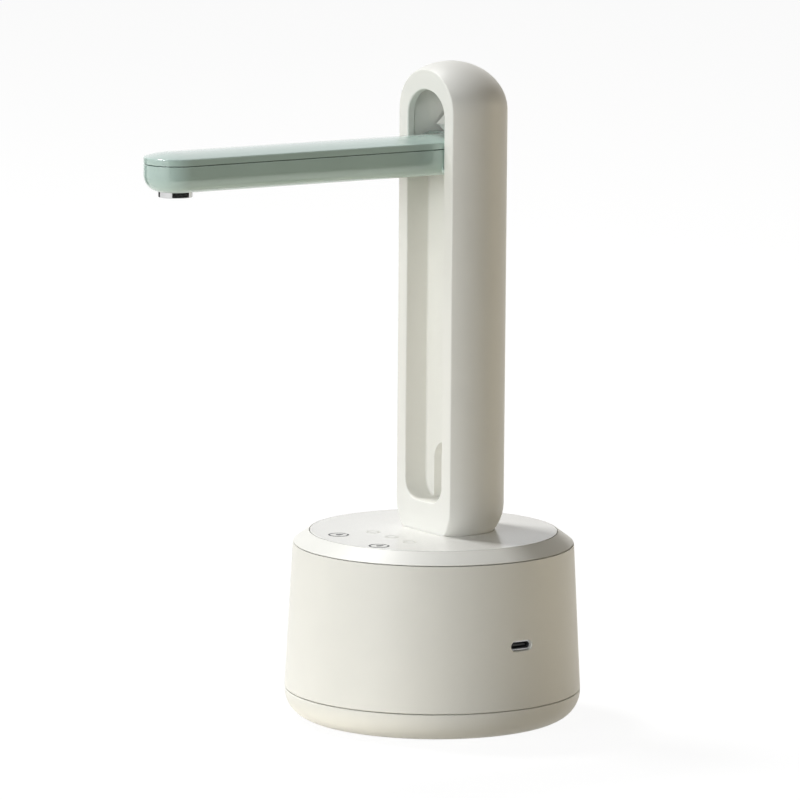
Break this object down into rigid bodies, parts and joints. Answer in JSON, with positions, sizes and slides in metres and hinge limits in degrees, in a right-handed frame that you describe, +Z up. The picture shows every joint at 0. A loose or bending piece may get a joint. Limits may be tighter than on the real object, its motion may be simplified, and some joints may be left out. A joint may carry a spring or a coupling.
{
  "type": "electric water jug pump",
  "caption": "Electric pump for a water jug: a round drum that sits on the jug's neck, a tall column with a pocket, and a spout arm that folds down into it.",
  "frame": {"origin": "middle of the pump's bounding box in plan, on the surface that its foot ring stands on", "axes": "+Z up along the column, -X to the front, the way that the spout arm points at rest, +Y to the left as seen from the front; the charging socket is on the -Y side"},
  "size_m": [0.1754, 0.108, 0.24],
  "materials": {
    "rubber_foot": "matt",
    "shell_white": "fine satin",
    "panel_white": "satin gloss",
    "inner_white": "moulded satin",
    "mint": "fine satin",
    "silicone": "matt",
    "hose": "smooth, milky",
    "seal_rubber": "matt",
    "steel": "plain",
    "chrome": "mirror",
    "board": "solder resist",
    "dark_plastic": "moulded",
    "cell": "shrink sleeve"
  },
  "bodies": {
    "stand": {"foot_ring": "rubber_foot", "bottom_shell": "shell_white", "base_shell": "shell_white", "top_cover": "shell_white", "column_shell": "shell_white", "rear_cover": "shell_white", "hinge_frame": "shell_white", "top_panel": "panel_white", "inlet_fitting": "inner_white", "pump_housing": "inner_white", "pump_cover": "inner_white", "swivel_manifold": "inner_white", "hinge_cheek": "inner_white", "neck_seal": "silicone", "inlet_gasket": "silicone", "riser_hose": "hose", "shaft_seal": "seal_rubber", "usb_receptacle": "steel", "motor": "steel", "bottom_screw_1": "steel", "bottom_screw_2": "steel", "bottom_screw_3": "steel", "bottom_screw_4": "steel", "board_screw_1": "steel", "board_screw_2": "steel", "board_screw_3": "steel", "pump_screw_1": "steel", "pump_screw_2": "steel", "pump_screw_3": "steel", "column_screw_1": "steel", "column_screw_2": "steel", "column_screw_3": "steel", "column_screw_4": "steel", "cheek_screw_left": "steel", "cheek_screw_right": "steel", "frame_screw_left": "steel", "frame_screw_right": "steel", "touch_board": "board", "main_board": "board", "battery_cradle": "dark_plastic", "hinge_washer_left": "dark_plastic", "hinge_washer_right": "dark_plastic", "battery_cell": "cell"},
    "arm": {"arm_body": "mint", "arm_cover": "mint", "water_spigot": "steel", "spigot_seal": "seal_rubber", "hinge_pin": "steel", "arm_elbow": "inner_white", "arm_tube": "hose", "nozzle_body": "inner_white", "nozzle_ring": "chrome", "aerator": "dark_plastic"},
    "rotor": {"motor_shaft": "steel", "impeller": "dark_plastic"}
  },
  "joints": [
    {"name": "arm_fold", "type": "hinge", "parent": "stand", "child": "arm", "pos_m": [0.03352, 0, 0.204], "axis": [0, -1, 0], "range_deg": [0, 90]},
    {"name": "impeller_spin", "type": "hinge", "parent": "stand", "child": "rotor", "pos_m": [0.03372, 0, 0.04], "axis": [0, 0, 1], "continuous": true}
  ]
}
